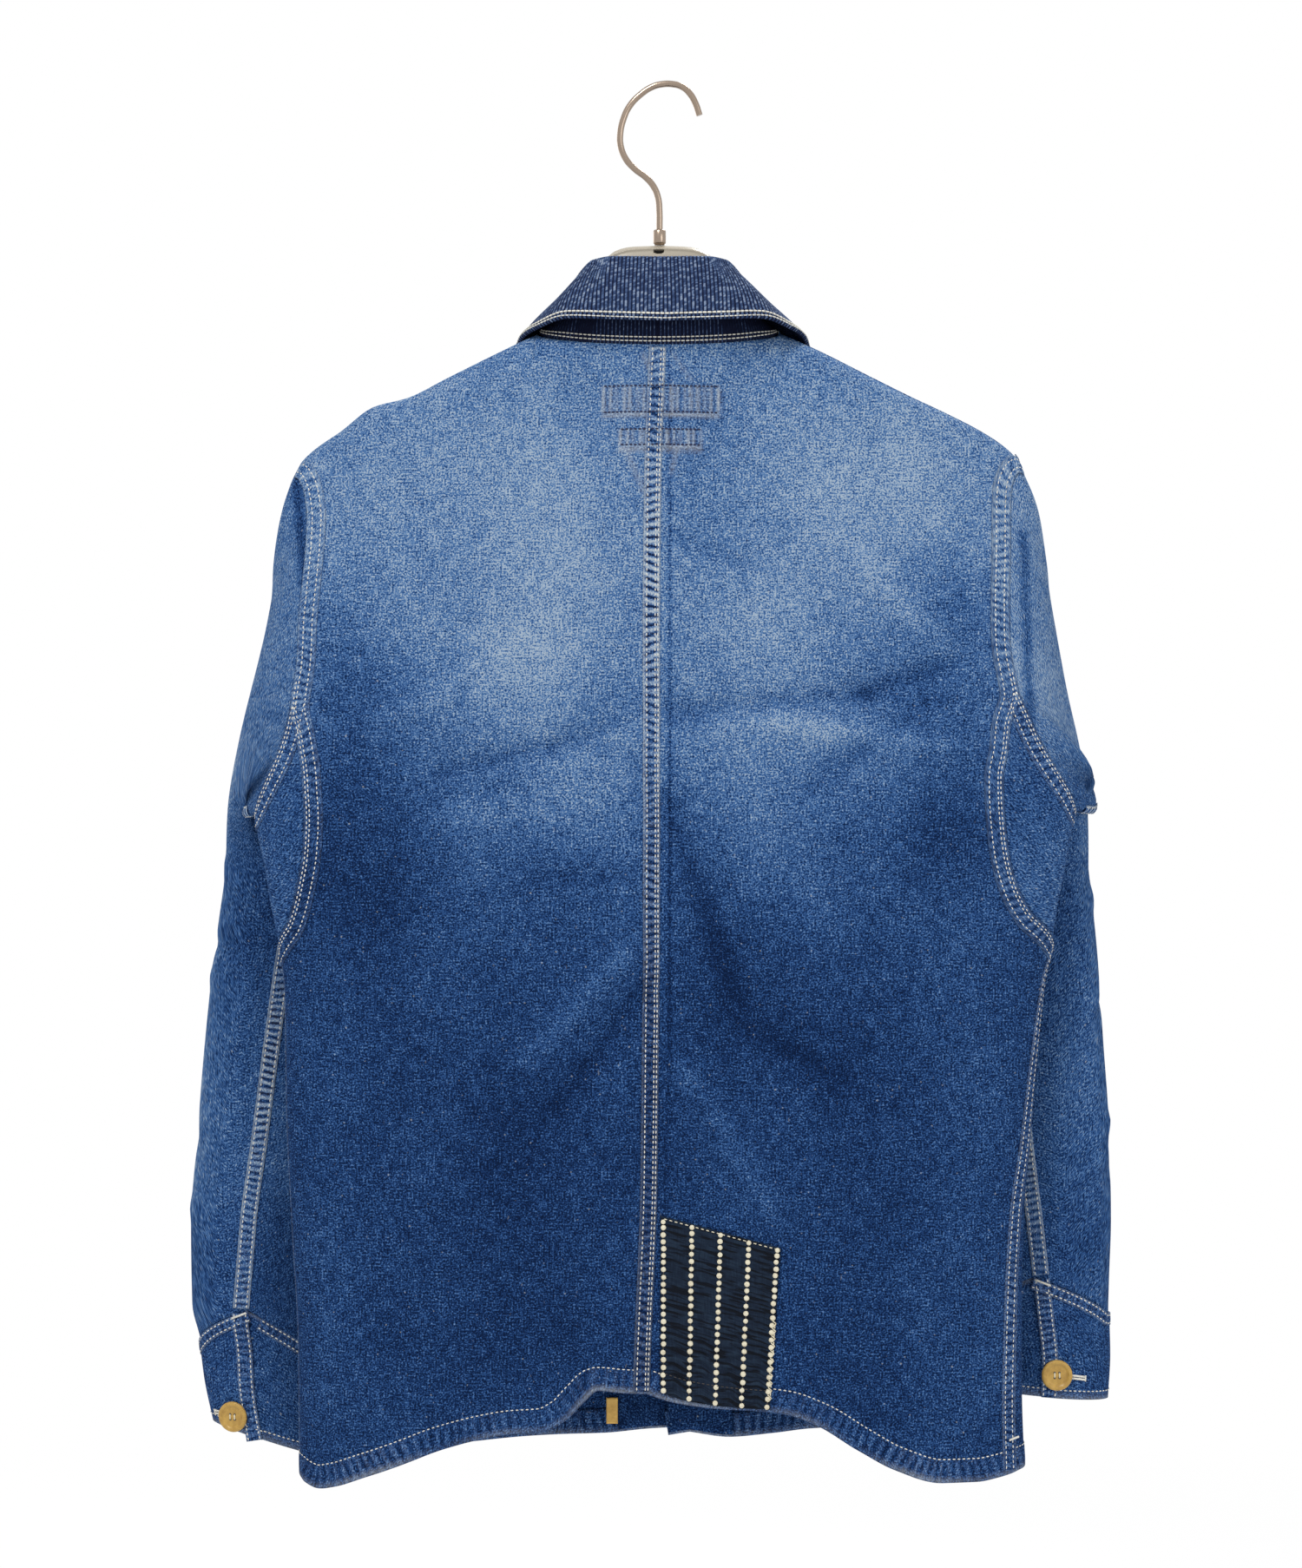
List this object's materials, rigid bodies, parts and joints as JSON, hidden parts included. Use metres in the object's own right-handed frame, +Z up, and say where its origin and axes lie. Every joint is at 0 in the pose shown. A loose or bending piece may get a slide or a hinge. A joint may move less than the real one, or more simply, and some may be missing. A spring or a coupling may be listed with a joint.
{
  "type": "work jacket on a clothes hanger",
  "caption": "Faded indigo denim work jacket with long sleeves, a ribbed collar and a dark dotted patch by the back hem, buttoned and hanging on a shaped hanger with a metal hook.",
  "frame": {"origin": "the place where the hanger's hook rests on a rail", "axes": "+Z up; the jacket's back faces -Y and its front +Y, so the wearer's left arm is at -X"},
  "size_m": [0.6032, 0.1381, 0.902],
  "materials": {
    "denim": "faded indigo denim, matte",
    "sleeve_denim": "faded indigo denim, matte",
    "ribbed_cloth": "dark indigo ribbed cloth, matte",
    "dotted_cloth": "dark cloth with small pale dots, matte",
    "tan_leather": "smooth tan leather",
    "tan_button": "tan, softly polished",
    "hanger_shell": "satin champagne lacquer",
    "polished_metal": "polished, slightly warm"
  },
  "bodies": {
    "root": {"back_left": "denim", "front_left": "denim", "facing_left": "denim", "gusset_left": "denim", "sleeve_left": "sleeve_denim", "cuff_left": "sleeve_denim", "back_right": "denim", "front_right": "denim", "facing_right": "denim", "gusset_right": "denim", "sleeve_right": "sleeve_denim", "cuff_right": "sleeve_denim", "collar": "ribbed_cloth", "patch": "dotted_cloth", "hem_tab": "tan_leather", "button_cuff_left": "tan_button", "button_cuff_right": "tan_button", "button_front_1": "tan_button", "button_front_2": "tan_button", "button_front_3": "tan_button", "button_front_4": "tan_button", "button_front_5": "tan_button", "hanger_body": "hanger_shell", "hanger_ferrule": "polished_metal", "hanger_hook": "polished_metal"}
  },
  "joints": []
}
